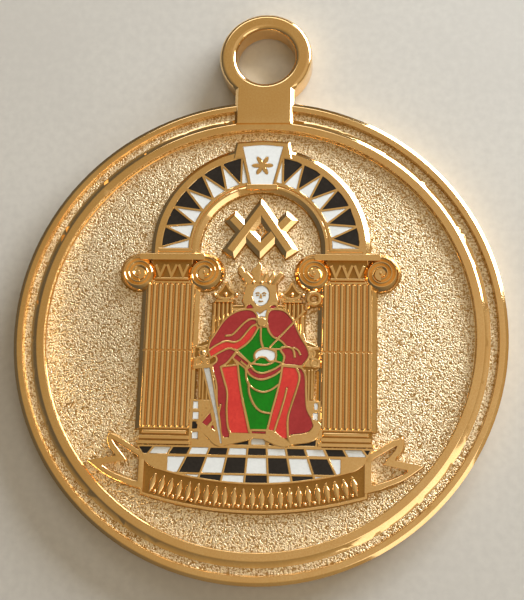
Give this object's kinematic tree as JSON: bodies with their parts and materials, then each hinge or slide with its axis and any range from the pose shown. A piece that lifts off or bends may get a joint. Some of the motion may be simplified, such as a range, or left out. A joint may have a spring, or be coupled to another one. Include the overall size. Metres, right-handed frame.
{
  "type": "collar jewel",
  "caption": "Round gilt collar jewel with a hanging ring, a ribbed rim and a raised enamelled scene of a seated king under an arch between pillars.",
  "frame": {"origin": "centre of the disc, on its flat back face", "axes": "+X to the right of the picture, +Y from the disc's centre to the hanging ring, +Z out of the face"},
  "size_m": [0.07, 0.0843, 0.0038],
  "materials": {
    "gilt_metal": "polished",
    "white_enamel": "gloss",
    "black_enamel": "gloss",
    "crimson_enamel": "gloss",
    "scarlet_enamel": "gloss",
    "green_enamel": "gloss",
    "silver_enamel": "gloss"
  },
  "bodies": {
    "root": {"medal": "gilt_metal", "keystone_enamel": "white_enamel", "arch_white_enamel": "white_enamel", "arch_black_enamel": "black_enamel", "floor_white_enamel": "white_enamel", "floor_black_enamel": "black_enamel", "robe_crimson_enamel": "crimson_enamel", "robe_scarlet_enamel": "scarlet_enamel", "tunic_green_enamel": "green_enamel", "face_enamel": "white_enamel", "linen_enamel": "white_enamel", "sword_enamel": "silver_enamel"}
  },
  "joints": []
}
